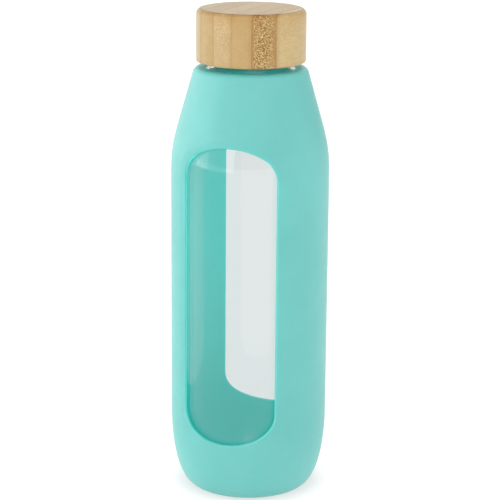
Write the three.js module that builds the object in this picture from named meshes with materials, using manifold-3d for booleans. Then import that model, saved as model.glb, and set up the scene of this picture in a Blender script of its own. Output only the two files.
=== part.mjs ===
// A glass water bottle in a silicone sleeve, closed by a bamboo screw lid.
// Millimetres, +Z up. The origin is the centre of the base, where the sleeve meets the table.
// The sleeve's two windows face -Y and +Y.
import * as THREE from "three";
import { mergeVertices } from "three/addons/utils/BufferGeometryUtils.js";
import Module from "manifold-3d";

const wasm = await Module();
wasm.setup();

// ---- Driving dimensions ----

// Sleeve: the outline that the hand holds
const BODY_RADIUS = 36;
const BODY_HEIGHT = 159.6; // height at which the straight wall would meet the shoulder cone
const SHOULDER_RISE = 37.2; // height of the shoulder cone, up to the rim
const SHOULDER_STEP = 7.1; // from the glass neck out to the sleeve's rim
const SHOULDER_BEND = 66; // radius of the bend between wall and cone
const BASE_CURVE_RUN = 11; // how far the base curves in
const BASE_CURVE_RISE = 36; // how high the base curve reaches
const BASE_CURVE_POWER = 2.1; // 2 is an ellipse, more is squarer
const SLEEVE_WALL = 2;
const SLEEVE_RIM_ROUNDING = 1.6;

// Windows in the sleeve, measured along its outer surface
const WINDOW_HALF_WIDTH = 23.5;
const WINDOW_BOTTOM = 28.5; // height of the lower end
const WINDOW_PAST_SHOULDER = 5.6; // how far the upper end reaches past BODY_HEIGHT
const WINDOW_END_RISE = 14; // height of each half-oval end

// Glass bottle
const GLASS_WALL = 2.2;
const GLASS_BASE = 4; // thickness of the glass floor
const NECK_RADIUS = 18.4; // outside of the neck, at the root of its thread
const GLASS_SHOULDER_DROP = 2.6; // from the sleeve's rim down to the glass shoulder
const GLASS_SHOULDER_RISE = 3.4; // from the glass shoulder up to the foot of the neck
const GLASS_SHOULDER_ROUNDING = 3.2;
const NECK_FOOT_ROUNDING = 2;
const LIP_ROUNDING = 0.9;

// Two-start screw thread, with the same lead on the glass and in the lid
const THREAD_STARTS = 2;
const THREAD_LEAD = 9; // rise in one turn
const THREAD_DEPTH = 1.2; // height of a ridge
const RIDGE_CREST = 0.9; // width of a ridge at its top
const RIDGE_FLANK = 0.55; // axial run of each sloping side
const NECK_RIDGE_TURNS = 0.9;
const LID_RIDGE_TURNS = 0.7;
const LIP_TO_RIDGE = 1.4; // plain band between the lip and the neck's ridges
const FOOT_TO_RIDGE = 1.4; // plain band between the insert's foot and its ridges
const RIDGE_ROOT = 0.4; // how deep a ridge is sunk in the wall that carries it

// Lid
const LID_HEIGHT = 23.8;
const LID_WALL = 3.05; // bamboo round the thread insert
const LID_TOP_THICKNESS = 4;
const LID_TOP_ROUNDING = 2.4;
const LID_FOOT_ROUNDING = 0.8;
const LID_CLEARANCE = 2.6; // open gap between the sleeve's rim and the lid
const INSERT_WALL = 1.3;
const INSERT_TOP_THICKNESS = 1.5;
const INSERT_RECESS = 0.6; // from the bamboo's foot up to the insert's foot
const SEAL_THICKNESS = 1.8;
const SEAL_WIDTH = 5.6;

// Clearances
const SLEEVE_GAP = 0.3; // sleeve to glass
const GLUE_GAP = 0.3; // insert to bamboo
const SEAL_GAP = 0.3; // seal to the lip, and to the insert's plate
const SEAL_SIDE_GAP = 0.4; // seal to the insert's bore
const THREAD_GAP = 0.4; // ridge crest to the opposite wall
const THREAD_FLANK_GAP = 0.35; // flank to flank, on the side that pulls the lid down

// Facets
const SIDES = 48; // facets round the axis
const ARC_STEP = THREE.MathUtils.degToRad(32); // most that one step of a small arc turns
const BASE_CURVE_STEPS = 6;
const WINDOW_END_STEPS = 8; // steps in each half of a window's end
const CUTTER_INSIDE = 0.5; // reach of the window cutter, as shares of BODY_RADIUS
const CUTTER_OUTSIDE = 1.5;

// ---- Places that follow from the sizes ----

const rimHeight = BODY_HEIGHT + SHOULDER_RISE;
const rimRadius = NECK_RADIUS + SHOULDER_STEP;
const coneAngle = Math.atan2(BODY_RADIUS - rimRadius, SHOULDER_RISE);
const windowTop = BODY_HEIGHT + WINDOW_PAST_SHOULDER;

const glassInset = SLEEVE_WALL + SLEEVE_GAP;
const glassShoulder = rimHeight - GLASS_SHOULDER_DROP;
const neckFoot = glassShoulder + GLASS_SHOULDER_RISE;

const insertBore = NECK_RADIUS + THREAD_DEPTH + THREAD_GAP;
const insertRadius = insertBore + INSERT_WALL;
const lidBore = insertRadius + GLUE_GAP;
const lidRadius = lidBore + LID_WALL;
const sealRadius = insertBore - SEAL_SIDE_GAP;

const lidFoot = rimHeight + LID_CLEARANCE;
const lidTop = lidFoot + LID_HEIGHT;
const lidCeiling = lidTop - LID_TOP_THICKNESS;
const insertTop = lidCeiling - GLUE_GAP;
const insertCeiling = insertTop - INSERT_TOP_THICKNESS;
const insertFoot = lidFoot + INSERT_RECESS;
const sealTop = insertCeiling - SEAL_GAP;
const sealFoot = sealTop - SEAL_THICKNESS;
const lipHeight = sealFoot - SEAL_GAP;

const ridgeHalfWidth = RIDGE_CREST / 2 + RIDGE_FLANK;
const neckRidgeStart = lipHeight - LIP_TO_RIDGE - ridgeHalfWidth - NECK_RIDGE_TURNS * THREAD_LEAD;

// ---- Outlines ----

const point = (radius, height) => new THREE.Vector2(radius, height);
const corner = (radius, height, rounding = 0) => ({ at: point(radius, height), rounding });

// The arc that rounds a corner, tangent to both of its sides.
function cornerArc(before, at, after, rounding) {
  const toBefore = before.clone().sub(at).normalize();
  const toAfter = after.clone().sub(at).normalize();
  const halfAngle = Math.acos(toBefore.dot(toAfter)) / 2;
  const bisector = toBefore.clone().add(toAfter).normalize();
  const centre = at.clone().addScaledVector(bisector, rounding / Math.sin(halfAngle));
  const start = at.clone().addScaledVector(toBefore, rounding / Math.tan(halfAngle));
  const turn = Math.sign(toAfter.cross(toBefore)) * (Math.PI - 2 * halfAngle);
  const steps = Math.max(2, Math.ceil(Math.abs(turn) / ARC_STEP));
  return Array.from({ length: steps + 1 }, (_, i) =>
    start.clone().rotateAround(centre, (turn * i) / steps),
  );
}

// The points of an outline given by its corners, each rounded as it asks.
function rounded(corners) {
  return corners.flatMap(({ at, rounding }, i) =>
    rounding ? cornerArc(corners[i - 1].at, at, corners[i + 1].at, rounding) : [at],
  );
}

// The base curve from the flat base up to the straight wall, moved in by `inset`.
function baseCurve(inset, floor = inset) {
  const power = 2 / BASE_CURVE_POWER;
  return Array.from({ length: BASE_CURVE_STEPS + 1 }, (_, i) => {
    const angle = (Math.PI / 2) * (i / BASE_CURVE_STEPS);
    const run = (BASE_CURVE_RUN - inset) * Math.sin(angle) ** power;
    const drop = (BASE_CURVE_RISE - floor) * Math.cos(angle) ** power;
    return corner(BODY_RADIUS - BASE_CURVE_RUN + run, BASE_CURVE_RISE - drop);
  });
}

// Radius of the shoulder cone at a height, moved in by `inset`.
function coneRadius(height, inset) {
  return rimRadius + (rimHeight - height) * Math.tan(coneAngle) - inset / Math.cos(coneAngle);
}

// The corner between the straight wall and the shoulder cone, moved in by `inset`.
function shoulderCorner(inset) {
  const height = BODY_HEIGHT - inset * Math.tan(coneAngle / 2);
  return corner(BODY_RADIUS - inset, height, SHOULDER_BEND - inset);
}

// The glass from its base curve to its lip, moved in by `depth` from the outer face.
function glassFace(depth, floor) {
  const inset = glassInset + depth;
  const slope = Math.atan2(coneRadius(glassShoulder, glassInset) - NECK_RADIUS, GLASS_SHOULDER_RISE);
  const shoulderDrop =
    (depth * Math.sin((slope + coneAngle) / 2)) / Math.cos((slope - coneAngle) / 2);
  const shoulder = glassShoulder - shoulderDrop;
  return [
    ...baseCurve(inset, floor),
    shoulderCorner(inset),
    corner(coneRadius(shoulder, inset), shoulder, GLASS_SHOULDER_ROUNDING - depth),
    corner(NECK_RADIUS - depth, neckFoot - depth * Math.tan(slope / 2), NECK_FOOT_ROUNDING + depth),
    corner(NECK_RADIUS - depth, lipHeight, LIP_ROUNDING),
  ];
}

// ---- Solids ----

// A closed solid turned about the Z axis. Its outline runs up the outside.
// The facets are centred on the X and Y axes, so that no facet's edge runs along a window's side.
function turned(corners) {
  return new THREE.LatheGeometry(rounded(corners), SIDES, Math.PI / SIDES).rotateX(Math.PI / 2);
}

function solidOf(geometry) {
  const bare = geometry.clone();
  bare.deleteAttribute("normal");
  bare.deleteAttribute("uv");
  const merged = mergeVertices(bare);
  const mesh = new wasm.Mesh({
    numProp: 3,
    vertProperties: merged.attributes.position.array,
    triVerts: merged.index.array,
  });
  return new wasm.Manifold(mesh);
}

function geometryOf(solid) {
  const mesh = solid.getMesh();
  const geometry = new THREE.BufferGeometry();
  geometry.setAttribute("position", new THREE.BufferAttribute(mesh.vertProperties, 3));
  geometry.setIndex(new THREE.BufferAttribute(mesh.triVerts, 1));
  geometry.computeVertexNormals();
  return geometry;
}

// A right-hand helix about the Z axis whose cross-sections stay in the plane of the axis.
class Helix extends THREE.Curve {
  constructor(radius, startAngle, startHeight, turns) {
    super();
    Object.assign(this, { radius, startAngle, startHeight, turns });
  }

  angleAt(t) {
    return this.startAngle + t * this.turns * 2 * Math.PI;
  }

  getPoint(t, target = new THREE.Vector3()) {
    const angle = this.angleAt(t);
    const height = this.startHeight + t * this.turns * THREAD_LEAD;
    return target.set(this.radius * Math.cos(angle), this.radius * Math.sin(angle), height);
  }

  computeFrenetFrames(steps) {
    const angles = Array.from({ length: steps + 1 }, (_, i) => this.angleAt(i / steps));
    return {
      tangents: angles.map((angle) => new THREE.Vector3(-Math.sin(angle), Math.cos(angle), 0)),
      normals: angles.map((angle) => new THREE.Vector3(Math.cos(angle), Math.sin(angle), 0)),
      binormals: angles.map(() => new THREE.Vector3(0, 0, -1)),
    };
  }
}

// One ridge on a wall of `radius`. It stands out from the wall if `side` is 1 and in if it is -1.
function threadRidge(radius, side, startAngle, startHeight, turns) {
  const section = new THREE.Shape([
    point(-side * RIDGE_ROOT, -ridgeHalfWidth),
    point(0, -ridgeHalfWidth),
    point(side * THREAD_DEPTH, -RIDGE_CREST / 2),
    point(side * THREAD_DEPTH, RIDGE_CREST / 2),
    point(0, ridgeHalfWidth),
    point(-side * RIDGE_ROOT, ridgeHalfWidth),
  ]);
  return new THREE.ExtrudeGeometry(section, {
    steps: Math.round(turns * SIDES),
    extrudePath: new Helix(radius, startAngle, startHeight, turns),
  });
}

// A wall with the thread's ridges on it, one for each start, spaced evenly round the axis.
function threaded(wall, radius, side, startHeight, turns) {
  let solid = solidOf(wall);
  for (let start = 0; start < THREAD_STARTS; start += 1) {
    const startAngle = (start * 2 * Math.PI) / THREAD_STARTS;
    solid = solid.add(solidOf(threadRidge(radius, side, startAngle, startHeight, turns)));
  }
  return geometryOf(solid);
}

// ---- Glass bottle ----

function glassBottle() {
  const floor = glassInset + GLASS_BASE;
  const wall = turned([
    corner(0, glassInset),
    ...glassFace(0, glassInset),
    ...glassFace(GLASS_WALL, floor).reverse(),
    corner(0, floor),
  ]);
  return threaded(wall, NECK_RADIUS, 1, neckRidgeStart, NECK_RIDGE_TURNS);
}

// ---- Silicone sleeve ----

// A solid that cuts one window. Its outline lies along the sleeve's surface, and its sides run
// towards the axis.
function windowCutter(facing) {
  const outline = new THREE.Shape();
  const topCentre = windowTop - WINDOW_END_RISE;
  const bottomCentre = WINDOW_BOTTOM + WINDOW_END_RISE;
  outline.absellipse(0, topCentre, WINDOW_HALF_WIDTH, WINDOW_END_RISE, 0, Math.PI);
  outline.absellipse(0, bottomCentre, WINDOW_HALF_WIDTH, WINDOW_END_RISE, Math.PI, 2 * Math.PI);
  const cutter = new THREE.ExtrudeGeometry(outline, {
    depth: 1,
    bevelEnabled: false,
    curveSegments: WINDOW_END_STEPS,
  });
  const places = cutter.attributes.position;
  for (let i = 0; i < places.count; i += 1) {
    const angle = facing + places.getX(i) / BODY_RADIUS;
    const reach = THREE.MathUtils.lerp(CUTTER_INSIDE, CUTTER_OUTSIDE, places.getZ(i)) * BODY_RADIUS;
    places.setXYZ(i, reach * Math.cos(angle), reach * Math.sin(angle), places.getY(i));
  }
  return solidOf(cutter);
}

function siliconeSleeve() {
  const wall = turned([
    corner(0, 0),
    ...baseCurve(0),
    shoulderCorner(0),
    corner(rimRadius, rimHeight, SLEEVE_RIM_ROUNDING),
    corner(coneRadius(rimHeight, SLEEVE_WALL), rimHeight),
    shoulderCorner(SLEEVE_WALL),
    ...baseCurve(SLEEVE_WALL).reverse(),
    corner(0, SLEEVE_WALL),
  ]);
  const front = windowCutter(-Math.PI / 2);
  const back = windowCutter(Math.PI / 2);
  return geometryOf(solidOf(wall).subtract(front).subtract(back));
}

// ---- Lid ----

function bambooLid() {
  return turned([
    corner(0, lidCeiling),
    corner(lidBore, lidCeiling),
    corner(lidBore, lidFoot),
    corner(lidRadius, lidFoot, LID_FOOT_ROUNDING),
    corner(lidRadius, lidTop, LID_TOP_ROUNDING),
    corner(0, lidTop),
  ]);
}

// How far below the neck's ridges the lid's ridges run, so that their flanks pull the lid down.
// Where both ridges are equally wide, each is half the shared depth below its crest.
function ridgeOffset() {
  const sharedDepth = 2 * THREAD_DEPTH - (insertBore - NECK_RADIUS);
  const flankRun = (RIDGE_FLANK * sharedDepth) / THREAD_DEPTH;
  return RIDGE_CREST + flankRun + THREAD_FLANK_GAP;
}

function lidThreadInsert() {
  const wall = turned([
    corner(0, insertCeiling),
    corner(insertBore, insertCeiling),
    corner(insertBore, insertFoot),
    corner(insertRadius, insertFoot),
    corner(insertRadius, insertTop),
    corner(0, insertTop),
  ]);
  const lowest = insertFoot + FOOT_TO_RIDGE + ridgeHalfWidth;
  const helixAtZero = neckRidgeStart - ridgeOffset();
  const pitch = THREAD_LEAD / THREAD_STARTS;
  const start = helixAtZero + Math.ceil((lowest - helixAtZero) / pitch) * pitch;
  return threaded(wall, insertBore, -1, start, LID_RIDGE_TURNS);
}

function lidSealRing() {
  const sealBore = sealRadius - SEAL_WIDTH;
  return turned([
    corner(sealBore, sealFoot),
    corner(sealRadius, sealFoot),
    corner(sealRadius, sealTop),
    corner(sealBore, sealTop),
    corner(sealBore, sealFoot),
  ]);
}

// ---- Materials ----

const surface = (color, roughness, extra = {}) =>
  new THREE.MeshStandardMaterial({ color, roughness, metalness: 0, ...extra });

const clearGlass = surface(0xe2efec, 0.04, { transparent: true, opacity: 0.35 });
const tealSilicone = surface(0x7fd3cd, 0.6);
const bamboo = surface(0xd0aa70, 0.55);
const whitePlastic = surface(0xeeebe3, 0.35);
const paleSilicone = surface(0xe9eae6, 0.5);

// ---- Assembly ----

function part(name, geometry, material) {
  const mesh = new THREE.Mesh(geometry, material);
  mesh.name = name;
  return mesh;
}

const bottle = new THREE.Group();
bottle.add(
  part("glass_bottle", glassBottle(), clearGlass),
  part("silicone_sleeve", siliconeSleeve(), tealSilicone),
);

const lid = new THREE.Group();
lid.add(
  part("bamboo_lid", bambooLid(), bamboo),
  part("lid_thread_insert", lidThreadInsert(), whitePlastic),
  part("lid_seal_ring", lidSealRing(), paleSilicone),
);

const waterBottle = new THREE.Group();
waterBottle.add(bottle, lid);

export default waterBottle;
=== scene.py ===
"""A glass water bottle in a silicone sleeve with a bamboo screw lid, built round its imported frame."""
import math

import bpy
import numpy as np
from mathutils import Euler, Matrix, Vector


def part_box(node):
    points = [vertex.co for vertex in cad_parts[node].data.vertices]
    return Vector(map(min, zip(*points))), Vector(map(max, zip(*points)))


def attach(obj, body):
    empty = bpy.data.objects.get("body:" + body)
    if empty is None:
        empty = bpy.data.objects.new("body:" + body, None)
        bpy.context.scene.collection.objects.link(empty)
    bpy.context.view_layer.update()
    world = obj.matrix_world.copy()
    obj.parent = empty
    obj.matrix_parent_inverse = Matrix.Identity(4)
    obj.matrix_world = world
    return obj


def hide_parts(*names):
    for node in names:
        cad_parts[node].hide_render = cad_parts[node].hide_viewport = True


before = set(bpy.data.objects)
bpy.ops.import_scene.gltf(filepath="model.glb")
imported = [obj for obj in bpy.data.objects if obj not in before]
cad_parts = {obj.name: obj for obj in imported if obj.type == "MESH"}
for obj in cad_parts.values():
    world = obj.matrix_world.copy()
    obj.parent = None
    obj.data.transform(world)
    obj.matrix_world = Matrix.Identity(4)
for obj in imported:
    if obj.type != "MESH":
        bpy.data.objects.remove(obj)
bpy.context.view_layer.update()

# ---- Sizes, in millimetres unless a name says otherwise ----

MM = 0.001
FIT_GAP = 0.3  # between pieces that fit together

# Outline of the sleeve
BODY_RADIUS = 36
BODY_HEIGHT = 159.6
SHOULDER_RISE = 37.2
SHOULDER_STEP = 7.1
SHOULDER_BEND = 66
BASE_CURVE_RUN = 11
BASE_CURVE_RISE = 36
BASE_CURVE_POWER = 2.1
SLEEVE_WALL = 2
RIM_ROUNDING = 2.0
RIM_LIP = 3.1  # how far the rim's inner corner is drawn in over the glass
INNER_EDGE_ROUNDING = 0.35
BOOT_CLEARANCE = 0.1  # taken off the wall, so that its rounded foot stays clear of the glass
INNER_FACE_MARGIN = 0.25  # a point this near the full depth of the wall is on its inner face

# Windows in the sleeve, measured along its surface
WINDOW_HALF_WIDTH = 23.5
WINDOW_BOTTOM = 28.5
WINDOW_PAST_SHOULDER = 5.6
WINDOW_END_RISE = 14
WINDOW_LIP_ROUNDING = 0.85
LIP_BANDS = (2.1, 1.4, 2.0)  # widths of the bands of faces round a window
LIP_DEPTHS = (0.75, 0.2, 0.0, 0.0)  # how far the wall sinks at each edge of those bands
CUT_MARGIN = 2  # how far past a window's ends its cut faces are looked for
SUNK_LIP_MARGIN = 3  # how far past a window's ends its sunk lip can carry the wall into the glass

# Glass
GLASS_WALL = 2.2
GLASS_BASE = 4
NECK_RADIUS = 18.4
GLASS_SHOULDER_DROP = 2.6
GLASS_SHOULDER_RISE = 3.4
GLASS_SHOULDER_ROUNDING = 3.2
NECK_FOOT_ROUNDING = 2
LIP_ROUNDING = 0.9

# Thread
THREAD_STARTS = 2
THREAD_LEAD = 9
THREAD_DEPTH = 1.2
THREAD_GAP = 0.4
THREAD_FLANK_GAP = 0.35
RIDGE_CREST = 0.9
RIDGE_FLANK = 0.55
RIDGE_ROOT = 0.4
RIDGE_SOFTENING = 0.28
NECK_RIDGE_TURNS = 0.9
LID_RIDGE_TURNS = 0.7
LIP_TO_RIDGE = 1.4
FOOT_TO_RIDGE = 1.4

# Lid
LID_TOP_ROUNDING = 2.4
LID_FOOT_ROUNDING = 0.8
LID_INNER_ROUNDING = 0.4
INSERT_EDGE_ROUNDING = 0.3
SEAL_EDGE_ROUNDING = 0.35
SEAL_WIDTH = 5.6

# Camera and room, in metres and degrees
CAMERA_AZIMUTH = 17.8
CAMERA_DISTANCE = 0.849
CAMERA_HEIGHT = 0.3335
CAMERA_AIM_HEIGHT = 0.11165
CAMERA_AIM_RIGHT = 0.0002
CAMERA_ROLL = 0.44
CAMERA_LENS = 137.2
CAMERA_NEAR = 0.05
FLOOR_SIZE = 12.0

# Bamboo: fibres run level, turned this many degrees from the front of the bottle
FIBRE_TURN = 7.2
STRIP_WIDTH = 8.8
STRIP_START = 1.7
GLUE_SHARE = 0.012
STRIPS_BEFORE = 3  # strips numbered below zero
STRIP_TONES = [
    (0.46, 0.355, 0.16), (0.45, 0.31, 0.12), (0.49, 0.35, 0.165),
    (0.475, 0.32, 0.13), (0.48, 0.325, 0.115), (0.54, 0.405, 0.19),
]
STRIP_SPOTS = [0.1, 0.05, 0.0, 0.0, 1.0, 0.1]
STRIP_RIND = [0.3, 0.7, 0.0, 0.3, 1.0, 0.5]
STRIP_DOTS = [0.0, 0.1, 1.0, 0.12, 0.0, 0.1]
BAMBOO_WARM = (0.92, 0.86, 0.76)
BAMBOO_STREAK = (0.84, 0.76, 0.66)
BAMBOO_BUNDLE = (0.53, 0.37, 0.175)
BAMBOO_RIND = (0.78, 0.64, 0.5)
BAMBOO_GLUE = (0.5, 0.36, 0.24)
BAMBOO_PALE = (0.80, 0.64, 0.37)
BAMBOO_EDGE_LINE = (0.58, 0.42, 0.26)
BAMBOO_EDGE_ZONE = (0.95, 0.84, 0.66)
EDGE_LINE_BAND = (1.0, 1.5, 1.9, 2.6)  # from the side: where the line starts, is full, ends, is gone
EDGE_LINE_DROP = (1.4, 0.8)  # below the top: where the line starts and is full
EDGE_ZONE_DROP = (6.0, 1.0)
EDGE_ZONE_BAND = (0.9, 1.6)  # from the side: where the zone starts to fade and is gone
TOP_FACE_DROP = (0.5, 0.1)  # below the top: the last of the side's spots and the top's first face
CLOUD_SIZE = 5.5
STREAK_SIZE = 0.8
GRANULE_SIZE = 0.5
BUNDLE_SPACING = 0.95
PATCH_SIZE = 6

# Other colours
SILICONE_DEEP = (0.128, 0.49, 0.46)
SILICONE_LIGHT = (0.142, 0.515, 0.485)
SILICONE_GLOW = (0.01, 0.39, 0.355)  # painted glow: emission on the wall's inner face, standing in for light that comes through the wall
GLOW_DEPTHS = (1.2, 1.86)  # depth in the wall where the glow starts and is full
GLOW_BASE_HEIGHTS = (1.2, 1.8)  # the same in the base
GLOW_LOW = (10, 120, 0.68, 1)  # heights, and the shares of the glow there
GLOW_TOP = (28, 6, 1, 0.05)  # distances below the rim, and the shares of the glow there
GLASS_TINT = (0.815, 0.84, 0.84)
GLASS_LIGHT = (0.97, 0.98, 0.98)
PLASTIC_TONES = [(0.74, 0.74, 0.72), (0.8, 0.8, 0.785)]
SEAL_TONES = [(0.68, 0.69, 0.68), (0.76, 0.76, 0.75)]
FLOOR_TONES = [(0.3, 0.3, 0.3), (0.33, 0.33, 0.33)]

# Light
ROOM_LIGHT = 0.5
FLOOR_GLOW = 0.8
CONTACT_SHADE = (0.74, 0.74, 0.74)  # painted contact shadow: the glow left on the floor close round the base
CONTACT_SHADE_RADII = (27, 41)
LIGHTS_AIM = (0, 0, 0.11)
SOFT_BOXES = [  # name, azimuth, elevation, distance, size and power
    ("left_panel", -42, 14, 1.6, 2.2, 17),
    ("left_side_panel", -75, 6, 1.6, 1.4, 6),
    ("left_back_panel", -108, 6, 1.6, 1.4, 7),
    ("right_panel", 92, 12, 1.6, 2.6, 15),
    ("front_panel", 25, 42, 1.6, 1.6, 9),
    ("back_panel", 198, 22, 2.6, 2.4, 13),
]

# Mesh fineness
CAD_SIDES = 48
SIDES = 192
ARC_STEP = math.radians(9)
BASE_CURVE_STEPS = 36
RIDGE_STEPS_PER_TURN = 160
TAPER_TURNS = 0.06
WINDOW_END_POINTS = 74
WINDOW_SIDE_CUTS = 67
PATTERN_WIDTH_CUTS = 21
PATTERN_BANDS = 11
GLASS_STEP = 5
LID_STEP = 3
SLEEVE_STEP = 0.5
BASE_RING_INSETS = (0, 3, 8, 14, 20)
RIM_RINGS_REACH = 12  # the rings this near the rim are set lower, clear of its rounding
RIM_RINGS_DROP = 2.4
RIM_CUT = 2.3  # how far below the rim its lip starts
OUTER_EDGE_STEPS = 5
INNER_EDGE_STEPS = 2
TAPER_FOOT = 0.05  # share of a thread ridge's height left at its very ends
SMOOTH_ANGLE = math.radians(50)
MERGE = 1e-6  # in metres, as the next one
SEAM_MERGE = 1e-5

# ---- Places that follow from the sizes ----

rim_height = BODY_HEIGHT + SHOULDER_RISE
rim_radius = NECK_RADIUS + SHOULDER_STEP
cone_angle = math.atan2(BODY_RADIUS - rim_radius, SHOULDER_RISE)
glass_inset = SLEEVE_WALL + FIT_GAP
glass_shoulder = rim_height - GLASS_SHOULDER_DROP
neck_foot = glass_shoulder + GLASS_SHOULDER_RISE
insert_bore = NECK_RADIUS + THREAD_DEPTH + THREAD_GAP
ridge_half_width = RIDGE_CREST / 2 + RIDGE_FLANK


def heights(node):
    """Lowest and highest point of a CAD node, in millimetres."""
    low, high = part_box(node)
    return low.z / MM, high.z / MM


def round_radius(node):
    """A round CAD node's radius at the corners of its facets, in millimetres."""
    low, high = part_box(node)
    return (high.x - low.x) / 2 / MM / math.cos(math.pi / CAD_SIDES)


lid_foot, lid_top = heights("bamboo_lid")
insert_foot, insert_top = heights("lid_thread_insert")
seal_foot, seal_top = heights("lid_seal_ring")
lip_height = heights("glass_bottle")[1]
lid_radius = round_radius("bamboo_lid")
insert_radius = round_radius("lid_thread_insert")
seal_radius = round_radius("lid_seal_ring")
insert_ceiling = seal_top + FIT_GAP
lid_ceiling = insert_top + FIT_GAP
lid_bore = insert_radius + FIT_GAP
neck_ridge_start = lip_height - LIP_TO_RIDGE - ridge_half_width - NECK_RIDGE_TURNS * THREAD_LEAD

# ---- Outlines: lists of (radius, height, rounding) corners, and the points along them ----


def corner_arc(before, at, after, rounding):
    """Points of the arc that rounds a corner, tangent to both of its sides."""
    before, at, after = (np.array(p[:2], float) for p in (before, at, after))
    to_before = (before - at) / np.linalg.norm(before - at)
    to_after = (after - at) / np.linalg.norm(after - at)
    half_angle = math.acos(float(np.clip(to_before @ to_after, -1, 1))) / 2
    bisector = (to_before + to_after) / np.linalg.norm(to_before + to_after)
    centre = at + bisector * rounding / math.sin(half_angle)
    start = at + to_before * rounding / math.tan(half_angle) - centre
    side = np.sign(to_after[0] * to_before[1] - to_after[1] * to_before[0])
    turn = side * (math.pi - 2 * half_angle)
    steps = max(3, math.ceil(abs(turn) / ARC_STEP))
    points = []
    for i in range(steps + 1):
        c, s = math.cos(turn * i / steps), math.sin(turn * i / steps)
        x = centre[0] + c * start[0] - s * start[1]
        y = centre[1] + s * start[0] + c * start[1]
        points.append((x, y))
    return points


def rounded(corners):
    """Points along an outline, with each corner rounded as it asks."""
    points = []
    for i, corner in enumerate(corners):
        if len(corner) > 2 and corner[2]:
            points += corner_arc(corners[i - 1], corner, corners[i + 1], corner[2])
        else:
            points.append(tuple(corner[:2]))
    return points


def base_curve(inset, floor=None):
    """The curve from the flat base up to the straight wall, moved in by inset."""
    floor = inset if floor is None else floor
    power = 2 / BASE_CURVE_POWER
    points = []
    for i in range(BASE_CURVE_STEPS + 1):
        angle = math.pi / 2 * i / BASE_CURVE_STEPS
        run = (BASE_CURVE_RUN - inset) * math.sin(angle) ** power
        above = math.cos(angle) ** power if i < BASE_CURVE_STEPS else 0
        drop = (BASE_CURVE_RISE - floor) * above
        points.append((BODY_RADIUS - BASE_CURVE_RUN + run, BASE_CURVE_RISE - drop))
    return points


def cone_radius(height, inset):
    """The shoulder cone's radius at a height, moved in by inset."""
    outer = rim_radius + (rim_height - height) * math.tan(cone_angle)
    return outer - inset / math.cos(cone_angle)


def shoulder_corner(inset):
    """The corner between the straight wall and the shoulder cone, moved in by inset."""
    height = BODY_HEIGHT - inset * math.tan(cone_angle / 2)
    return (BODY_RADIUS - inset, height, SHOULDER_BEND - inset)


def glass_face(depth, floor):
    """The glass from its base curve to its lip, moved in by depth from the outer face."""
    inset = glass_inset + depth
    slope = math.atan2(cone_radius(glass_shoulder, glass_inset) - NECK_RADIUS, GLASS_SHOULDER_RISE)
    drop = depth * math.sin((slope + cone_angle) / 2) / math.cos((slope - cone_angle) / 2)
    shoulder = glass_shoulder - drop
    return [
        *base_curve(inset, floor),
        shoulder_corner(inset),
        (cone_radius(shoulder, inset), shoulder, GLASS_SHOULDER_ROUNDING - depth),
        (NECK_RADIUS - depth, neck_foot - depth * math.tan(slope / 2), NECK_FOOT_ROUNDING + depth),
        (NECK_RADIUS - depth, lip_height, LIP_ROUNDING),
    ]


def finely(points, step):
    """The same outline with extra points, so that none of its stretches is longer than step."""
    out = [points[0]]
    for a, b in zip(points, points[1:]):
        pieces = max(1, math.ceil(math.dist(a, b) / step))
        out += [(a[0] + (b[0] - a[0]) * i / pieces, a[1] + (b[1] - a[1]) * i / pieces)
                for i in range(1, pieces + 1)]
    return out


# ---- Modelling ----


def start_fresh():
    if bpy.context.object and bpy.context.object.mode != "OBJECT":
        bpy.ops.object.mode_set(mode="OBJECT")
    bpy.ops.object.select_all(action="DESELECT")


def new_piece(name):
    """Names the primitive just added, settles its place into its mesh and opens it, all selected."""
    piece = bpy.context.object
    piece.name = piece.data.name = name
    bpy.ops.object.transform_apply(location=True, rotation=True, scale=True)
    bpy.ops.object.mode_set(mode="EDIT")
    bpy.ops.mesh.select_all(action="SELECT")
    return piece


def only(piece):
    """Makes piece the one selected object."""
    start_fresh()
    piece.select_set(True)
    bpy.context.view_layer.objects.active = piece


def joined(pieces, name):
    """The pieces as one object."""
    start_fresh()
    for piece in pieces:
        piece.select_set(True)
    bpy.context.view_layer.objects.active = pieces[0]
    bpy.ops.object.join()
    piece = bpy.context.object
    piece.name = piece.data.name = name
    return piece


def select_where(piece, test):
    """In edit mode, selects the vertices whose place passes test, and nothing else."""
    bpy.ops.mesh.select_mode(type="VERT")
    bpy.ops.mesh.select_all(action="DESELECT")
    bpy.ops.object.mode_set(mode="OBJECT")
    for vertex in piece.data.vertices:
        vertex.select = bool(test(vertex.co))
    bpy.ops.object.mode_set(mode="EDIT")


def select_edges(piece, test):
    """In edit mode, selects the edges whose two ends pass test, and nothing else."""
    bpy.ops.mesh.select_mode(type="EDGE")
    bpy.ops.mesh.select_all(action="DESELECT")
    bpy.ops.object.mode_set(mode="OBJECT")
    places = [vertex.co for vertex in piece.data.vertices]
    for edge in piece.data.edges:
        edge.select = bool(test(*(places[i] for i in edge.vertices)))
    bpy.ops.object.mode_set(mode="EDIT")


def grow_ring(radius, height, new_radius, new_height):
    """Extrudes the selected ring to its next radius and height, or to a closed pole."""
    rise = (0, 0, (new_height - height) * MM)
    bpy.ops.mesh.extrude_region_move(TRANSFORM_OT_translate={"value": rise})
    if new_radius <= 0:
        bpy.ops.mesh.merge(type="CENTER")
        return
    share = new_radius / radius
    bpy.ops.transform.resize(value=(share, share, 1), center_override=(0, 0, new_height * MM))


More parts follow.
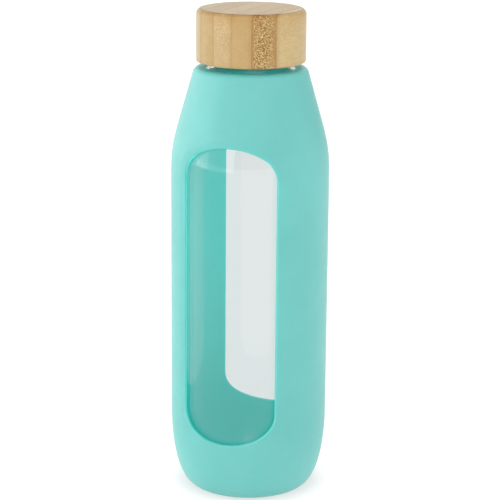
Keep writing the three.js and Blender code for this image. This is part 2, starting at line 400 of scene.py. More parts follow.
def turned(name, points):
    """A solid of revolution about Z, extruded ring by ring along its outline.
    The outline starts and ends on the axis, or closes on itself."""
    closed = points[0] == points[-1]
    rings = points if closed else points[1:]
    radius, height = rings[0]
    start_fresh()
    bpy.ops.mesh.primitive_circle_add(
        vertices=SIDES, radius=radius * MM, location=(0, 0, height * MM))
    piece = new_piece(name)
    for ring, next_ring in zip(rings, rings[1:]):
        grow_ring(*ring, *next_ring)
    if not closed:
        first = (radius * MM, height * MM)
        select_where(piece, lambda co: math.dist((math.hypot(co.x, co.y), co.z), first) < MERGE / 10)
        grow_ring(radius, height, 0, height)
    return finished(piece)


def finished(piece):
    """Closes the seams, turns the faces outwards and smooths all but the sharp edges."""
    only(piece)
    bpy.ops.object.mode_set(mode="EDIT")
    bpy.ops.mesh.select_all(action="SELECT")
    bpy.ops.mesh.remove_doubles(threshold=MERGE)
    bpy.ops.mesh.normals_make_consistent(inside=False)
    bpy.ops.object.mode_set(mode="OBJECT")
    bpy.ops.object.shade_smooth_by_angle(angle=SMOOTH_ANGLE)
    return piece


def applied(piece, kind, **settings):
    """Adds a modifier, sets it and applies it."""
    only(piece)
    modifier = piece.modifiers.new(kind.title(), kind)
    for key, value in settings.items():
        setattr(modifier, key, value)
    bpy.ops.object.modifier_apply(modifier=modifier.name)
    return piece


def ridge_section(name, root, side, height):
    """The outline of a thread ridge: a plane shaped to a trapezoid with softened crests."""
    depth = THREAD_DEPTH + RIDGE_ROOT
    root_width = 2 * (ridge_half_width + RIDGE_FLANK * RIDGE_ROOT / THREAD_DEPTH)
    start_fresh()
    bpy.ops.mesh.primitive_plane_add(size=MM, rotation=(math.pi / 2, 0, 0))
    piece = new_piece(name)
    bpy.ops.transform.resize(value=(depth, 1, root_width), center_override=(0, 0, 0))
    select_where(piece, lambda co: co.x * side > 0)
    bpy.ops.transform.resize(value=(1, 1, RIDGE_CREST / root_width), center_override=(0, 0, 0))
    bpy.ops.mesh.bevel(offset=RIDGE_SOFTENING * MM, segments=3, affect="VERTICES")
    bpy.ops.mesh.select_all(action="SELECT")
    bpy.ops.transform.translate(value=((root + side * depth / 2) * MM, 0, height * MM))
    bpy.ops.mesh.delete(type="ONLY_FACE")
    bpy.ops.object.mode_set(mode="OBJECT")
    return piece


def thread_ridge(name, radius, side, start_angle, start_height, turns):
    """One ridge screwed round a wall of that radius, standing outwards if side is 1 and inwards
    if it is -1."""
    root = radius - side * RIDGE_ROOT
    piece = ridge_section(name, root, side, start_height)
    section = len(piece.data.vertices)
    steps = round(turns * RIDGE_STEPS_PER_TURN)
    applied(piece, "SCREW", angle=turns * 2 * math.pi, screw_offset=turns * THREAD_LEAD * MM,
            steps=steps, render_steps=steps, axis="Z", use_smooth_shade=True)
    taper_ends(piece, section, steps, turns, root)
    bpy.ops.object.mode_set(mode="EDIT")
    bpy.ops.mesh.select_mode(type="EDGE")
    bpy.ops.mesh.select_all(action="DESELECT")
    bpy.ops.mesh.select_non_manifold(extend=False)
    bpy.ops.mesh.fill()
    bpy.ops.mesh.select_all(action="SELECT")
    bpy.ops.transform.rotate(value=start_angle, orient_axis="Z", center_override=(0, 0, 0))
    return finished(piece)


def taper_ends(piece, section, steps, turns, root):
    """Sinks both ends of a screwed ridge into the wall, as a moulded thread starts and runs out."""
    for i, vertex in enumerate(piece.data.vertices):
        along = (i // section) / steps * turns
        share = min(1, min(along, turns - along) / TAPER_TURNS)
        share = TAPER_FOOT + (1 - TAPER_FOOT) * math.sin(share * math.pi / 2)
        x, y = vertex.co.x, vertex.co.y
        distance = math.hypot(x, y)
        scale = (root * MM + (distance - root * MM) * share) / distance
        vertex.co.x, vertex.co.y = x * scale, y * scale


def with_thread(piece, radius, side, start_height, turns):
    """Joins the thread's ridges to a wall."""
    for start in range(THREAD_STARTS):
        angle = start * 2 * math.pi / THREAD_STARTS
        name = f"{piece.name}_ridge"
        ridge = thread_ridge(name, radius, side, angle, start_height, turns)
        applied(piece, "BOOLEAN", operation="UNION", object=ridge, solver="EXACT")
        bpy.data.objects.remove(ridge)
    return finished(piece)


# ---- Pieces ----


def make_glass():
    floor = glass_inset + GLASS_BASE
    outside = [(0, glass_inset), *glass_face(0, glass_inset)]
    inside = [*reversed(glass_face(GLASS_WALL, floor)), (0, floor)]
    piece = turned("glass_flask", finely(rounded([*outside, *inside]), GLASS_STEP))
    return with_thread(piece, NECK_RADIUS, 1, neck_ridge_start, NECK_RIDGE_TURNS)


def make_bamboo_lid():
    outline = rounded([
        (0, lid_ceiling),
        (lid_bore, lid_ceiling, LID_INNER_ROUNDING),
        (lid_bore, lid_foot, LID_INNER_ROUNDING),
        (lid_radius, lid_foot, LID_FOOT_ROUNDING),
        (lid_radius, lid_top, LID_TOP_ROUNDING),
        (0, lid_top),
    ])
    return turned("bamboo_cap", finely(outline, LID_STEP))


def make_thread_insert():
    outline = rounded([
        (0, insert_ceiling),
        (insert_bore, insert_ceiling, INSERT_EDGE_ROUNDING),
        (insert_bore, insert_foot, INSERT_EDGE_ROUNDING),
        (insert_radius, insert_foot, INSERT_EDGE_ROUNDING),
        (insert_radius, insert_top, INSERT_EDGE_ROUNDING),
        (0, insert_top),
    ])
    piece = turned("thread_cup", finely(outline, LID_STEP))
    pitch = THREAD_LEAD / THREAD_STARTS
    shared_depth = 2 * THREAD_DEPTH - (insert_bore - NECK_RADIUS)
    below_neck = RIDGE_CREST + RIDGE_FLANK * shared_depth / THREAD_DEPTH + THREAD_FLANK_GAP
    helix = neck_ridge_start - below_neck
    lowest = insert_foot + FOOT_TO_RIDGE + ridge_half_width
    start = helix + math.ceil((lowest - helix) / pitch) * pitch
    return with_thread(piece, insert_bore, -1, start, LID_RIDGE_TURNS)


def make_seal_ring():
    bore = seal_radius - SEAL_WIDTH
    middle = (bore + seal_radius) / 2
    return turned("seal_ring", rounded([
        (middle, seal_foot),
        (seal_radius, seal_foot, SEAL_EDGE_ROUNDING),
        (seal_radius, seal_top, SEAL_EDGE_ROUNDING),
        (bore, seal_top, SEAL_EDGE_ROUNDING),
        (bore, seal_foot, SEAL_EDGE_ROUNDING),
        (middle, seal_foot),
    ]))


def sleeve_outline():
    """The sleeve's outer outline from its flat base to its rim, and the length along it at each
    point."""
    corners = [*base_curve(0), shoulder_corner(0), (rim_radius, rim_height)]
    points = np.array(finely(rounded(corners), SLEEVE_STEP))
    steps = np.linalg.norm(np.diff(points, axis=0), axis=1)
    return points, np.concatenate([[0], np.cumsum(steps)])


def window_oval(start, end, wider, sunk):
    """A loop in the flat pattern, stretched from a circle to the window's oval, wider by that much
    and sunk into the wall."""
    start_fresh()
    bpy.ops.mesh.primitive_circle_add(
        vertices=WINDOW_END_POINTS, radius=MM, rotation=(math.pi / 2, 0, 0))
    piece = new_piece("window_oval")
    half_width = (WINDOW_HALF_WIDTH + wider) / math.cos(math.pi / WINDOW_END_POINTS)
    size = (half_width, 1, WINDOW_END_RISE + wider)
    bpy.ops.transform.resize(value=size, center_override=(0, 0, 0))
    select_where(piece, lambda co: co.z > 0)
    bpy.ops.transform.translate(value=(0, 0, (end - WINDOW_END_RISE) * MM))
    select_where(piece, lambda co: co.z < 0)
    bpy.ops.transform.translate(value=(0, 0, (start + WINDOW_END_RISE) * MM))
    split = (start + end) / 2 * MM
    select_edges(piece, lambda a, b: (a.z - split) * (b.z - split) < 0)
    bpy.ops.mesh.subdivide(number_cuts=WINDOW_SIDE_CUTS)
    bpy.ops.mesh.select_all(action="SELECT")
    bpy.ops.transform.translate(value=(0, sunk * MM, 0))
    bpy.ops.object.mode_set(mode="OBJECT")
    return piece


def pattern_edge(width, height):
    """A loop round the flat pattern, with as many points as a window's oval and sharp corners."""
    start_fresh()
    bpy.ops.mesh.primitive_plane_add(size=MM, rotation=(math.pi / 2, 0, 0))
    piece = new_piece("pattern_edge")
    bpy.ops.transform.resize(value=(width, 1, height), center_override=(0, 0, 0))
    bpy.ops.transform.translate(value=(0, 0, height / 2 * MM))
    bpy.ops.mesh.delete(type="ONLY_FACE")
    bpy.ops.mesh.select_all(action="SELECT")
    bpy.ops.transform.vert_crease(value=1)
    select_edges(piece, lambda a, b: abs(a.z - b.z) < abs(a.x - b.x))
    bpy.ops.mesh.subdivide(number_cuts=PATTERN_WIDTH_CUTS)
    side_steps = (WINDOW_END_POINTS + 2 * WINDOW_SIDE_CUTS) // 2 - (PATTERN_WIDTH_CUTS + 1)
    select_edges(piece, lambda a, b: abs(a.z - b.z) > abs(a.x - b.x))
    bpy.ops.mesh.subdivide(number_cuts=side_steps - 1)
    bpy.ops.object.mode_set(mode="OBJECT")
    return piece


def bridged(inner, outer, cuts):
    """A band of faces between two loops."""
    piece = joined([inner, outer], "pattern_band")
    bpy.ops.object.mode_set(mode="EDIT")
    bpy.ops.mesh.select_mode(type="EDGE")
    bpy.ops.mesh.select_all(action="SELECT")
    bpy.ops.mesh.bridge_edge_loops(number_cuts=cuts, interpolation="LINEAR")
    bpy.ops.object.mode_set(mode="OBJECT")
    return piece


def sleeve_pattern(points, along):
    """Half of the sleeve laid out flat, with its window: X runs round the sleeve and Z up its
    outline."""
    start = float(np.interp(WINDOW_BOTTOM, points[:, 1], along))
    end = float(np.interp(BODY_HEIGHT + WINDOW_PAST_SHOULDER, points[:, 1], along))
    loops = list(zip(np.cumsum([0, *LIP_BANDS]), LIP_DEPTHS))
    bands = [bridged(window_oval(start, end, *a), window_oval(start, end, *b), 0)
             for a, b in zip(loops, loops[1:])]
    edge = pattern_edge(math.pi * BODY_RADIUS, float(along[-1]))
    bands.append(bridged(window_oval(start, end, *loops[-1]), edge, PATTERN_BANDS))
    piece = joined(bands, "silicone_boot")
    bpy.ops.object.mode_set(mode="EDIT")
    bpy.ops.mesh.select_all(action="SELECT")
    bpy.ops.mesh.remove_doubles(threshold=MERGE)
    bpy.ops.object.mode_set(mode="OBJECT")
    return applied(piece, "SUBSURF", levels=1, render_levels=1,
                   boundary_smooth="PRESERVE_CORNERS")


def wrap(piece, points, along):
    """Lays the flat pattern round the axis, with its middle at the front and the rings near the
    rim set lower. The pattern's Y is its depth in the wall."""
    for vertex in piece.data.vertices:
        angle = vertex.co.x / (BODY_RADIUS * MM)
        up = vertex.co.z / MM
        below_rim = float(along[-1]) - up
        if 0.1 < below_rim < RIM_RINGS_REACH:
            up -= RIM_RINGS_DROP * (1 - below_rim / RIM_RINGS_REACH)
        radius = float(np.interp(up, along, points[:, 0])) * MM - vertex.co.y
        height = float(np.interp(up, along, points[:, 1])) * MM
        vertex.co = (radius * math.sin(angle), -radius * math.cos(angle), height)


def close_base(piece):
    """Fills the sleeve's flat base, ring by ring, to a pole."""
    edge_radius = BODY_RADIUS - BASE_CURVE_RUN
    select_where(piece, lambda co: co.z < MERGE)
    radii = [*(edge_radius - inset for inset in BASE_RING_INSETS), 0]
    for radius, next_radius in zip(radii, radii[1:]):
        grow_ring(radius, 0, next_radius, 0)


def outline_depth(co, points):
    """How far a point of the sleeve's side lies inside its outer outline, measured level, in
    millimetres."""
    outer = float(np.interp(co.z / MM, points[:, 1], points[:, 0]))
    return outer - math.hypot(co.x, co.y) / MM


def beside_window(z, margin):
    """True for a height in metres that a window reaches, with that margin past its ends."""
    return WINDOW_BOTTOM - margin < z / MM < BODY_HEIGHT + WINDOW_PAST_SHOULDER + margin


def is_cut_face(face):
    """True for the faces of a window's cut, which look along the wall and not out of it."""
    outward = Vector((face.center.x, face.center.y, 0)).normalized()
    return beside_window(face.center.z, CUT_MARGIN) and abs(face.normal.dot(outward)) < 0.4


def bevel_edges(piece, chosen, width, segments):
    """Rounds the edges whose indexes are chosen."""
    only(piece)
    bpy.ops.object.mode_set(mode="EDIT")
    bpy.ops.mesh.select_mode(type="EDGE")
    bpy.ops.mesh.select_all(action="DESELECT")
    bpy.ops.object.mode_set(mode="OBJECT")
    for i in chosen:
        piece.data.edges[i].select = True
    bpy.ops.object.mode_set(mode="EDIT")
    bpy.ops.mesh.bevel(
        offset=width * MM, segments=segments, affect="EDGES", clamp_overlap=False)
    bpy.ops.object.mode_set(mode="OBJECT")


def window_edges(piece, points, outer):
    """The edges between the windows' cut faces and the sleeve's outer or inner face."""
    cut = [face for face in piece.data.polygons if is_cut_face(face)]
    sides = {key for face in cut for key in face.edge_keys}
    found = []
    for edge in piece.data.edges:
        if tuple(sorted(edge.vertices)) not in sides:
            continue
        depths = [outline_depth(piece.data.vertices[i].co, points) for i in edge.vertices]
        on_outer_face = max(depths) < SLEEVE_WALL / 2
        on_inner_face = min(depths) > SLEEVE_WALL - INNER_FACE_MARGIN
        if on_outer_face if outer else on_inner_face:
            found.append(edge.index)
    return found


def rim_edges(piece, outer):
    """The edges round the rim's outer or inner corner."""
    middle = (rim_radius - SLEEVE_WALL / 2) * MM
    found = []
    for edge in piece.data.edges:
        ends = [piece.data.vertices[i].co for i in edge.vertices]
        level = all(abs(co.z - rim_height * MM) < MERGE for co in ends)
        if level and all((math.hypot(co.x, co.y) > middle) == outer for co in ends):
            found.append(edge.index)
    return found


def level_rim(piece):
    """Cuts a level ring of edges below the rim, and brings the rim's inner corner up to the rim's
    height and in over the glass."""
    bpy.ops.object.mode_set(mode="EDIT")
    bpy.ops.mesh.select_all(action="SELECT")
    cut_height = (rim_height - RIM_CUT) * MM
    bpy.ops.mesh.bisect(plane_co=(0, 0, cut_height), plane_no=(0, 0, 1))
    bpy.ops.object.mode_set(mode="OBJECT")
    inner = (cone_radius(rim_height, SLEEVE_WALL) - RIM_LIP) * MM
    for vertex in piece.data.vertices:
        distance = math.hypot(vertex.co.x, vertex.co.y)
        if vertex.co.z > (rim_height - 1) * MM and distance < (rim_radius - 1) * MM:
            share = inner / distance
            vertex.co = (vertex.co.x * share, vertex.co.y * share, rim_height * MM)


def clear_of_glass(piece, points):
    """Moves the wall's inner face back out where the sunk window lips would carry it into the
    glass."""
    for vertex in piece.data.vertices:
        depth = outline_depth(vertex.co, points)
        if beside_window(vertex.co.z, SUNK_LIP_MARGIN) and depth > SLEEVE_WALL:
            distance = math.hypot(vertex.co.x, vertex.co.y) / MM
            share = (distance + depth - SLEEVE_WALL) / distance
            vertex.co = (vertex.co.x * share, vertex.co.y * share, vertex.co.z)


def add_other_half(piece):
    """Copies the wrapped half round to the back and joins the two."""
    only(piece)
    bpy.ops.object.mode_set(mode="EDIT")
    bpy.ops.mesh.select_all(action="SELECT")
    bpy.ops.mesh.duplicate()
    bpy.ops.transform.rotate(value=math.pi, orient_axis="Z", center_override=(0, 0, 0))
    bpy.ops.mesh.select_all(action="SELECT")
    bpy.ops.mesh.remove_doubles(threshold=SEAM_MERGE)


def round_edges(piece, points):
    """Rounds the edges of the windows and the rim, first the outer ones and then the inner ones."""
    outer, inner = OUTER_EDGE_STEPS, INNER_EDGE_STEPS
    bevel_edges(piece, window_edges(piece, points, outer=True), WINDOW_LIP_ROUNDING, outer)
    bevel_edges(piece, window_edges(piece, points, outer=False), INNER_EDGE_ROUNDING, inner)
    bevel_edges(piece, rim_edges(piece, outer=True), RIM_ROUNDING, outer)
    bevel_edges(piece, rim_edges(piece, outer=False), INNER_EDGE_ROUNDING, inner)


def make_sleeve():
    points, along = sleeve_outline()
    piece = sleeve_pattern(points, along)
    wrap(piece, points, along)
    add_other_half(piece)
    close_base(piece)
    finished(piece)
    thickness = (SLEEVE_WALL - BOOT_CLEARANCE) * MM
    applied(piece, "SOLIDIFY", thickness=thickness, offset=-1, use_even_offset=True)
    level_rim(piece)
    clear_of_glass(piece, points)
    round_edges(piece, points)
    only(piece)
    bpy.ops.object.shade_smooth_by_angle(angle=SMOOTH_ANGLE)
    return piece


# ---- Materials ----


class Value:
    """A number's socket that takes part in sums, each operator adding its Math node."""

    def __init__(self, finish, socket):
        self.finish, self.socket = finish, socket

    def maths(self, operation, *others):
        return self.finish.maths(operation, self, *others)

    def __add__(self, other):
        return self.maths("ADD", other)

    def __radd__(self, other):
        return self.maths("ADD", other)

    def __sub__(self, other):
        return self.maths("SUBTRACT", other)

    def __rsub__(self, other):
        return self.finish.maths("SUBTRACT", other, self)

    def __mul__(self, other):
        return self.maths("MULTIPLY", other)

    def __rmul__(self, other):
        return self.maths("MULTIPLY", other)

    def __truediv__(self, other):
        return self.maths("DIVIDE", other)


class Finish:
    """A material of one piece, with one method that adds any node."""

    def __init__(self, name, **shader):
        self.material = bpy.data.materials.new(name)
        self.material.use_nodes = True
        self.tree = self.material.node_tree
        self.shader = self.tree.nodes["Principled BSDF"]
        self.place = self.node("TexCoord").outputs["Object"]
        self.set(**shader)

    def node(self, kind, settings=None, **values):
        """Adds a node, makes its settings first, and then feeds its sockets."""
        node = self.tree.nodes.new("ShaderNode" + kind)
        for key, setting in (settings or {}).items():
            if key == "stops":
                set_stops(node.color_ramp, setting)
            else:
                setattr(node, key, setting)
        for key, value in values.items():
            self.feed(socket_named(node, key), value)
        return node

    def feed(self, socket, value):
        if isinstance(value, Value):
            value = value.socket
        if isinstance(value, bpy.types.NodeSocket):
            self.tree.links.new(value, socket)
        elif hasattr(value, "__len__") and len(value) == 3 and socket.type == "RGBA":
            socket.default_value = (*value, 1)
        else:
            socket.default_value = value

    def set(self, **values):
        """Feeds the shader's own sockets."""
        for key, value in values.items():
            self.feed(socket_named(self.shader, key), value)

    def maths(self, operation, *operands, clamp=False):
        node = self.node("Math", {"operation": operation, "use_clamp": clamp})
        for socket, operand in zip(node.inputs, operands):
            self.feed(socket, operand)
        return Value(self, node.outputs[0])

    def mapped(self, scale=(1, 1, 1), turn=0):
        """Object coordinates in millimetres, turned about Z and scaled on each axis."""
        level = self.node("Mapping", Vector=self.place, Scale=(1 / MM,) * 3, Rotation=(0, 0, turn))
        return self.node("Mapping", Vector=level.outputs[0], Scale=scale).outputs[0]

    def axes(self, place):
        """The X, Y and Z of a place, as values."""
        split = self.node("SeparateXYZ", Vector=place)
        return [Value(self, split.outputs[axis]) for axis in "XYZ"]

    def from_axis(self, x, y):
        """Distance from the Z axis."""
        return self.maths("SQRT", x * x + y * y)

    def noise(self, vector, size, detail=2, roughness=0.5):
        """Soft noise from 0 to 1, with features about that many millimetres across."""
        node = self.node(
            "TexNoise", Vector=vector, Scale=1 / size, Detail=detail, Roughness=roughness)
        return Value(self, node.outputs[0])

    def grains(self, vector, size):
        """Distance from the middle of scattered grains that size apart: 0 in a grain's middle."""
        node = self.node("TexVoronoi", Vector=vector, Scale=1 / size)
        return Value(self, node.outputs["Distance"])

    def between(self, value, low, high, to_low=0, to_high=1, smooth=True):
        """Maps value from one range to another, held at both ends."""
        kind = "SMOOTHSTEP" if smooth else "LINEAR"
        node = self.node("MapRange", {"interpolation_type": kind}, Value=value, **{
            "From Min": low, "From Max": high, "To Min": to_low, "To Max": to_high})
        return Value(self, node.outputs[0])

    def mix(self, share, a, b, blend="MIX"):
        """Mixes two colours."""
        node = self.node("Mix", {"data_type": "RGBA", "blend_type": blend, "clamp_factor": True})
        for index, value in ((0, share), (6, a), (7, b)):
            self.feed(node.inputs[index], value)
        return node.outputs[2]

    def shaded(self, colour, share, by):
        """A colour darkened by another, where share asks for it."""
        return self.mix(share, colour, self.mix(1.0, colour, by, "MULTIPLY"))

    def ramp(self, value, stops, interpolation="LINEAR"):
        """A colour from a value, through stops of (position, colour)."""
        node = self.node("ValToRGB", {"stops": (interpolation, stops)}, Fac=value)
        return node.outputs[0]

    def bump(self, height, strength, distance, onto=None):
        """A normal from a height in millimetres."""
        node = self.node("Bump", Height=height, Strength=strength, Distance=distance * MM)
        if onto:
            self.feed(node.inputs["Normal"], onto)
        return node.outputs[0]

    def let_light_through(self, tint):
        """Lamps and diffuse light pass the glass unbent, so that what is behind it is lit cleanly."""
        path = self.node("LightPath")
        clear = self.node("BsdfTransparent", Color=tint).outputs[0]
        shown = self.shader.outputs[0]
        for ray in ("Is Shadow Ray", "Is Diffuse Ray"):
            mixed = self.node("MixShader", Fac=path.outputs[ray])
            self.feed(mixed.inputs[1], shown)
            self.feed(mixed.inputs[2], clear)
            shown = mixed.outputs[0]
        self.feed(self.tree.nodes["Material Output"].inputs["Surface"], shown)

    def give(self, piece):
        piece.data.materials.clear()
        piece.data.materials.append(self.material)


def socket_named(node, key):
    return node.inputs[key if key in node.inputs else key.replace("_", " ")]


def set_stops(color_ramp, setting):
    interpolation, stops = setting
    color_ramp.interpolation = interpolation
    while len(color_ramp.elements) < len(stops):
        color_ramp.elements.new(1)
    for element, (position, colour) in zip(color_ramp.elements, stops):
        element.position = position
        element.color = (*colour, 1)


def painted_glow_share(finish):
    """Share of the painted glow: from 0 on the sleeve's outer face to 1 on its inner face, by the depth
    inside its outline. It falls off towards the base, and more towards the rim."""
    x, y, z = finish.axes(finish.mapped())
    slope = math.tan(cone_angle)
    cone = (rim_radius + rim_height * slope) - slope * z
    drop = finish.maths("DIVIDE", BASE_CURVE_RISE - z, BASE_CURVE_RISE, clamp=True)
    below = 1 - finish.maths("POWER", drop, BASE_CURVE_POWER)
    curve = finish.maths("POWER", below, 1 / BASE_CURVE_POWER)
    foot = (BODY_RADIUS - BASE_CURVE_RUN) + BASE_CURVE_RUN * curve
    depth = finish.maths("MINIMUM", cone, foot) - finish.from_axis(x, y)
    inside = finish.between(depth, *GLOW_DEPTHS) * finish.between(z, *GLOW_BASE_HEIGHTS)
    rising = finish.between(z, *GLOW_LOW, smooth=False)
    fade_start, fade_end, full, left = GLOW_TOP
    falling = finish.between(z, rim_height - fade_start, rim_height - fade_end, full, left)
    return inside * rising * falling


def silicone_finish():
    """Satin teal silicone: a faint haze of tone, a fine eggshell grain from the mould, and a painted
    glow on its inner face.
    """
    finish = Finish("teal_silicone", IOR=1.58, Subsurface_Weight=0.8, Subsurface_Scale=0.003,
                    Subsurface_Radius=(0.25, 1.0, 0.9), Emission_Strength=1)
    at = finish.mapped()
    haze = finish.between(finish.noise(at, 26, 3), 0.3, 0.7)
    fine = finish.noise(at, 0.55, 3, 0.6)
    greys = [(share, (share,) * 3) for share in (0.3, 0.7)]
    base = finish.mix(haze, SILICONE_DEEP, SILICONE_LIGHT)
    base = finish.mix(0.06, base, finish.ramp(fine, greys), "OVERLAY")
    dust = finish.between(finish.noise(at, 3.5, 4), 0.45, 0.8)
    finish.set(Base_Color=base, Roughness=0.37 + 0.07 * dust + 0.06 * fine)
    # Painted glow: the inner face emits teal light, standing in for light that comes through the wall.
    finish.set(Emission_Color=finish.mix(painted_glow_share(finish), (0, 0, 0), SILICONE_GLOW))
    soft = finish.bump(finish.noise(at, 14, 2), 0.25, 0.25)
    finish.set(Normal=finish.bump(fine, 0.2, 0.03, onto=soft))
    return finish


def glass_finish():
    """Clear borosilicate glass with the slight waviness of a blown wall."""
    finish = Finish("clear_glass", Base_Color=GLASS_TINT, Transmission_Weight=1, IOR=1.47)
    waves = finish.mapped(scale=(1, 1, 0.35))
    smear = finish.between(finish.noise(finish.mapped(), 9, 4), 0.5, 0.85)
    finish.set(Roughness=0.004 + 0.012 * smear)
    finish.set(Normal=finish.bump(finish.noise(waves, 16, 1), 0.3, 0.12))
    finish.let_light_through(GLASS_LIGHT)
    return finish


def by_strip(finish, number, colours):
    """Each strip's own colour, from the strip's number."""
    place = (number + (STRIPS_BEFORE + 0.5)) / len(colours)
    stops = [(i / len(colours), colour) for i, colour in enumerate(colours)]
    return finish.ramp(place, stops, "CONSTANT")


def strip_share(finish, number, shares):
    """Each strip's own share from 0 to 1, from the strip's number."""
    return Value(finish, by_strip(finish, number, [(share,) * 3 for share in shares]))


def parted(finish, at, number):
    """The board's places, moved apart from strip to strip so that each has grain of its own."""
    shift = finish.node("CombineXYZ", Y=number * 37.0, Z=number * 5.3)
    node = finish.node("VectorMath", {"operation": "ADD"})
    finish.feed(node.inputs[0], at)
    finish.feed(node.inputs[1], shift.outputs[0])
    return node.outputs[0]


def edge_line_and_zone(finish):
    """Shares of the thin darker brown line where the top face starts to turn down, and of the darker
    warm zone below it on the side, both uneven round the lid."""
    x, y, z = finish.axes(finish.mapped())
    inward = lid_radius - finish.from_axis(x, y)
    uneven = finish.between(finish.noise(finish.mapped(scale=(1, 1, 0.4)), 5, 2), 0.3, 0.7, 0.4, 1)
    starts, full, ends, gone = EDGE_LINE_BAND
    top_face = finish.between(z, *(lid_top - drop for drop in EDGE_LINE_DROP))
    line = finish.between(inward, starts, full) * finish.between(inward, ends, gone, 1, 0) * top_face
    side = finish.between(z, *(lid_top - drop for drop in EDGE_ZONE_DROP))
    zone = side * finish.between(inward, *EDGE_ZONE_BAND, 1, 0)
    return line * uneven, zone * uneven


def fibre_grain(finish, places):
    """Clouds, streaks, granules, bundle ends and patches, each stretched along the fibres."""

    def stretched(along, height=1):
        return finish.node("Mapping", Vector=places, Scale=(1, along, height)).outputs[0]

    clouds = finish.between(finish.noise(stretched(0.12), CLOUD_SIZE, 3), 0.3, 0.72)
    streaks = finish.noise(stretched(0.03), STREAK_SIZE, 3, 0.62)
    granules = finish.noise(stretched(0.16), GRANULE_SIZE, 1)
    bundles = finish.between(finish.grains(stretched(0.06), BUNDLE_SPACING), 0.1, 0.42, 1, 0)
    patches = finish.between(finish.noise(stretched(0.2, 0.5), PATCH_SIZE, 1), 0.5, 0.62)
    return clouds, streaks, granules, bundles, patches


def bamboo_finish():
    """Oiled bamboo board: upright strips glued side by side, whose fibres run level through the lid.
    Where the lid's side cuts across the fibres their bundles show as dots, and elsewhere as streaks."""
    finish = Finish("bamboo", IOR=1.5)
    at = finish.mapped(turn=math.radians(FIBRE_TURN))
    across, _, up = finish.axes(at)
    strips = (across - STRIP_START) / STRIP_WIDTH
    in_strip = finish.maths("FRACT", strips + 10)
    number = finish.maths("FLOOR", strips)
    clouds, streaks, granules, bundles, patches = fibre_grain(finish, parted(finish, at, number))
    dark_grain = finish.between(granules, 0.47, 0.6)
    light_grain = finish.between(granules, 0.46, 0.34)

    spotted = strip_share(finish, number, STRIP_SPOTS)
    inner_side = finish.between(in_strip, 0.03, 0.14, 1, 0) * strip_share(finish, number, STRIP_RIND)
    outer_side = finish.between(in_strip, 0.8, 0.97) * (0.25 + 0.55 * spotted)
    on_side = finish.between(up, *(lid_top - drop for drop in TOP_FACE_DROP), 1, 0.2)
    spots = spotted * finish.between(in_strip, 0.6, 1.0, 1, 0.3) * (1 - inner_side) * on_side
    dots = bundles * patches * strip_share(finish, number, STRIP_DOTS) * on_side
    glue = finish.maths("COMPARE", in_strip, 0.0, GLUE_SHARE)
    # A darker brown line and a darker warm zone along the lid's top edge.
    line, zone = edge_line_and_zone(finish)

    tone = by_strip(finish, number, STRIP_TONES)
    colour = finish.shaded(tone, 0.6 * clouds, BAMBOO_WARM)
    colour = finish.shaded(colour, finish.between(streaks, 0.35, 0.75) * 0.45, BAMBOO_STREAK)
    colour = finish.shaded(colour, finish.maths("MAXIMUM", inner_side, outer_side), BAMBOO_RIND)
    colour = finish.mix(light_grain * spots * 0.35, colour, BAMBOO_PALE)
    colour = finish.shaded(colour, dark_grain * spots, BAMBOO_BUNDLE)
    colour = finish.shaded(colour, bundles * spots * 0.7, BAMBOO_BUNDLE)
    colour = finish.mix(dots * 0.5, colour, BAMBOO_PALE)
    colour = finish.shaded(colour, glue * 0.5, BAMBOO_GLUE)
    colour = finish.shaded(colour, zone, BAMBOO_EDGE_ZONE)
    colour = finish.shaded(colour, line, BAMBOO_EDGE_LINE)

    finish.set(Base_Color=colour, Roughness=0.28 + 0.14 * streaks + 0.05 * dark_grain)
    relief = streaks * 0.4 - dark_grain * spots * 0.6 - glue
    finish.set(Normal=finish.bump(relief, 0.35, 0.06))
    return finish


def insert_finish():
    """White moulded plastic with a fine satin grain."""
    finish = Finish("white_plastic", IOR=1.46)
    at = finish.mapped()
    fine = finish.noise(at, 0.4, 2)
    haze = finish.between(finish.noise(at, 8, 2), 0.3, 0.7)
    finish.set(Base_Color=finish.mix(haze, *PLASTIC_TONES))
    finish.set(Roughness=0.32 + 0.1 * fine, Normal=finish.bump(fine, 0.15, 0.02))
    return finish


def seal_finish():
    """Milky soft silicone."""
    finish = Finish("pale_silicone", IOR=1.42, Subsurface_Weight=0.3, Subsurface_Scale=0.003)
    at = finish.mapped()
    fine = finish.noise(at, 0.5, 2)
    haze = finish.between(finish.noise(at, 6, 3), 0.3, 0.7)
    finish.set(Base_Color=finish.mix(haze, *SEAL_TONES))
    finish.set(Roughness=0.48 + 0.12 * fine, Normal=finish.bump(fine, 0.2, 0.03))
    return finish


# ---- Room: floor, light and camera ----


def floor_finish():
    """Pale matt floor that glows a little, with a painted contact shadow where it glows less close
    round the base.
    """
    finish = Finish("pale_floor", Roughness=0.9, Specular_IOR_Level=0.1,
                    Emission_Strength=FLOOR_GLOW)
    at = finish.mapped()
    finish.set(Base_Color=finish.mix(finish.noise(at, 900, 2), *FLOOR_TONES))
    x, y, _ = finish.axes(at)
    # Painted contact shadow: the floor's glow is lowered close round the base.
    shade = finish.between(finish.from_axis(x, y), *CONTACT_SHADE_RADII)
    finish.set(Emission_Color=finish.mix(shade, CONTACT_SHADE, (1, 1, 1)))
    return finish


def make_floor():
    start_fresh()
    bpy.ops.mesh.primitive_plane_add(size=FLOOR_SIZE, location=(0, 0, 0))
    floor = bpy.context.object
    floor.name = "floor"
    floor_finish().give(floor)


def soft_box(name, place, aim, size, power):
    """A square area light, in metres and watts."""
    light = bpy.data.lights.new(name, "AREA")
    light.shape = "SQUARE"
    light.size = size
    light.energy = power
    box = bpy.data.objects.new(name, light)
    bpy.context.scene.collection.objects.link(box)
    box.location = place
    box.rotation_euler = (Vector(aim) - Vector(place)).to_track_quat("-Z", "Y").to_euler()


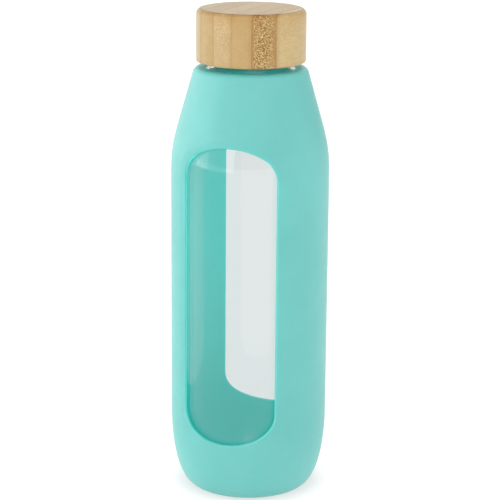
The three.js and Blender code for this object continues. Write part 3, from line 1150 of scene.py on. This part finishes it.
def make_lights():
    world = bpy.data.worlds.new("white_room")
    bpy.context.scene.world = world
    world.use_nodes = True
    background = world.node_tree.nodes["Background"]
    background.inputs["Color"].default_value = (1, 1, 1, 1)
    background.inputs["Strength"].default_value = ROOM_LIGHT
    for name, azimuth, elevation, distance, size, power in SOFT_BOXES:
        a, e = math.radians(azimuth), math.radians(elevation)
        way = Vector((math.sin(a) * math.cos(e), -math.cos(a) * math.cos(e), math.sin(e)))
        soft_box(name, Vector(LIGHTS_AIM) + way * distance, LIGHTS_AIM, size, power)


def make_camera():
    azimuth = math.radians(CAMERA_AZIMUTH)
    right = Vector((math.cos(azimuth), math.sin(azimuth), 0))
    place = Vector((
        math.sin(azimuth) * CAMERA_DISTANCE,
        -math.cos(azimuth) * CAMERA_DISTANCE,
        CAMERA_HEIGHT,
    ))
    aim = right * CAMERA_AIM_RIGHT + Vector((0, 0, CAMERA_AIM_HEIGHT))
    lens = bpy.data.cameras.new("camera")
    lens.lens = CAMERA_LENS
    lens.clip_start = CAMERA_NEAR
    camera = bpy.data.objects.new("camera", lens)
    bpy.context.scene.collection.objects.link(camera)
    camera.location = place
    looking = (aim - place).to_track_quat("-Z", "Y")
    roll = Euler((0, 0, math.radians(CAMERA_ROLL))).to_quaternion()
    camera.rotation_mode = "QUATERNION"
    camera.rotation_quaternion = looking @ roll
    bpy.context.scene.camera = camera


# ---- The bottle ----

PIECES = [  # how it is made, its finish, the body it rides on, the node it replaces and its slot
    (make_glass, glass_finish, "bottle", "glass_bottle", "clear_glass"),
    (make_sleeve, silicone_finish, "bottle", "silicone_sleeve", "teal_silicone"),
    (make_bamboo_lid, bamboo_finish, "lid", "bamboo_lid", "bamboo"),
    (make_thread_insert, insert_finish, "lid", "lid_thread_insert", "white_plastic"),
    (make_seal_ring, seal_finish, "seal", "lid_seal_ring", "pale_silicone"),
]

for make, finish, body, node, slot in PIECES:
    piece = make()
    finish().give(piece)
    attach(piece, body)
    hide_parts(node)

make_floor()
make_lights()
make_camera()
bpy.context.scene.view_settings.view_transform = "Standard"
